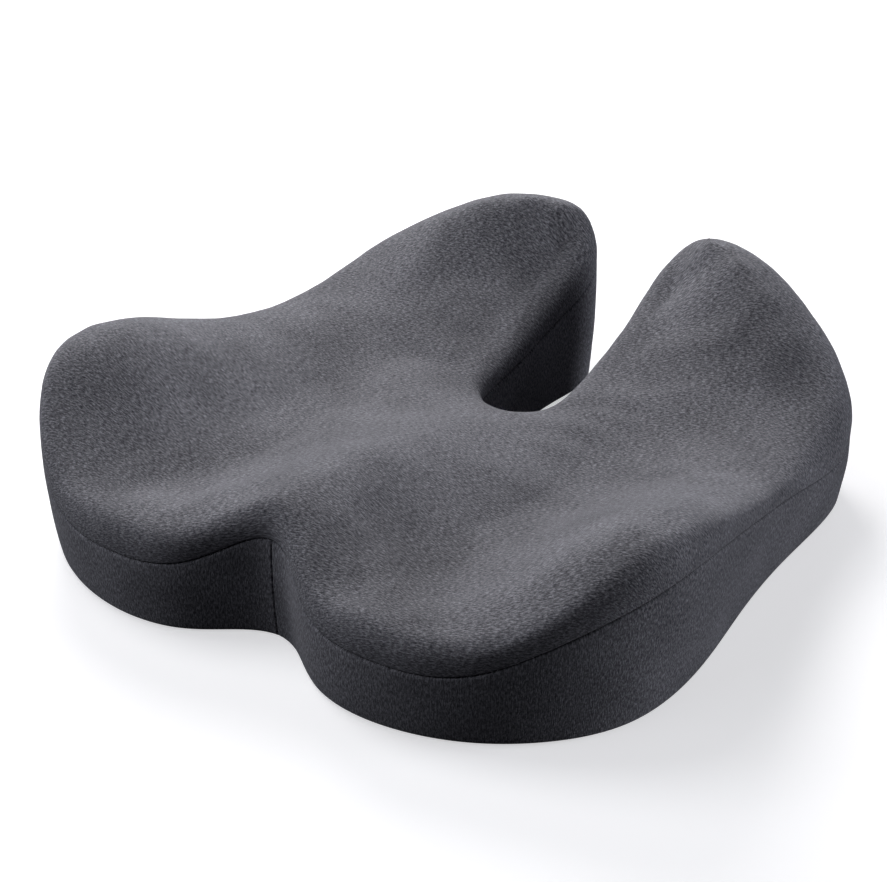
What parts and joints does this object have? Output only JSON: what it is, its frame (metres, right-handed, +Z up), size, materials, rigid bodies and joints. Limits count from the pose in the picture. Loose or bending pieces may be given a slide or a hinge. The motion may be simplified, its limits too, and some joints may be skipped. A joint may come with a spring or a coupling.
{
  "type": "seat cushion",
  "caption": "Contoured foam seat cushion with two thigh channels, a front notch, a tailbone slot and raised rear wings, in a sewn knit cover with a zipped underside.",
  "frame": {"origin": "centre of the bounding box in plan, on the underside (z = 0)", "axes": "+Z up, -Y towards the front notch (the knees), +Y towards the rear wings and the open slot, X across the seat, mirror plane x = 0"},
  "size_m": [0.452, 0.4515, 0.1353],
  "materials": {
    "memory_foam": "open-cell moulded foam, matt",
    "knit_cover": "charcoal heather knit, matt",
    "grip_cloth": "black cloth with raised silicone grip dots",
    "seam_thread": "dark polyester thread",
    "zip_tape": "black woven polyester tape",
    "zip_coil": "black nylon coil",
    "slider_enamel": "black enamelled zinc",
    "stop_metal": "dark plated steel"
  },
  "bodies": {
    "cushion": {"foam_core": "memory_foam", "cover_top_panel": "knit_cover", "side_band_left": "knit_cover", "side_band_right": "knit_cover", "bottom_panel_front": "grip_cloth", "bottom_panel_rear": "grip_cloth", "top_seam_thread": "seam_thread", "bottom_seam_thread": "seam_thread", "front_join_thread": "seam_thread", "slot_join_thread": "seam_thread", "bottom_join_thread_left": "seam_thread", "bottom_join_thread_right": "seam_thread", "zip_tape_front": "zip_tape", "zip_tape_rear": "zip_tape", "zip_coil_front": "zip_coil", "zip_coil_rear": "zip_coil", "zip_stitch_front": "seam_thread", "zip_stitch_rear": "seam_thread", "zip_top_stop": "stop_metal", "zip_bottom_stop": "stop_metal"},
    "slider": {"zip_slider": "slider_enamel"},
    "pull": {"zip_pull": "slider_enamel"}
  },
  "joints": [
    {"name": "slider_travel", "type": "slide", "parent": "cushion", "child": "slider", "axis": [1, 0, 0], "range_m": [-0.31, 0]},
    {"name": "pull_swing", "type": "hinge", "parent": "slider", "child": "pull", "pos_m": [0.155, -0.04, 0.0017], "axis": [0, 1, 0], "range_deg": [-175, 0]}
  ]
}
